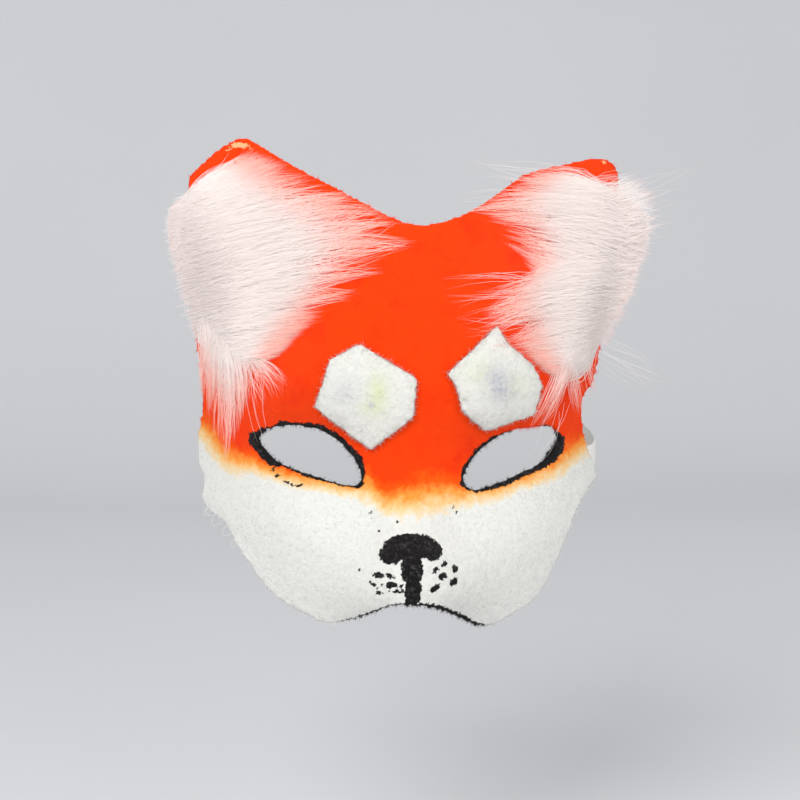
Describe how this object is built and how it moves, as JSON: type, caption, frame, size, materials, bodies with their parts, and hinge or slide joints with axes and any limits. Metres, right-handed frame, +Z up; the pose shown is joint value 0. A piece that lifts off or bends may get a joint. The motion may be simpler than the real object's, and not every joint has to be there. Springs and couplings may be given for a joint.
{
  "type": "fox mask",
  "caption": "Felt-covered fox half mask with upright ears, long pile in the ears, felt brow patches, almond eye holes and an elastic band round the head.",
  "frame": {"origin": "inside of the nose bridge, where the mask rests on the wearer's nose", "axes": "+Z up to the ears, +Y back to the wearer's head, +X to the viewer's right"},
  "size_m": [0.2011, 0.211, 0.1879],
  "materials": {
    "dyed_felt": "felt over a stiff blank, dyed orange above a yellow edge, white below, black paint",
    "white_pile": "long soft white pile",
    "white_felt": "thick white felt with faint stains",
    "elastic": "flat woven elastic"
  },
  "bodies": {
    "root": {"face_shell": "dyed_felt", "ear_fur_left": "white_pile", "ear_fur_right": "white_pile", "brow_patch_left": "white_felt", "brow_patch_right": "white_felt", "head_strap": "elastic"}
  },
  "joints": []
}
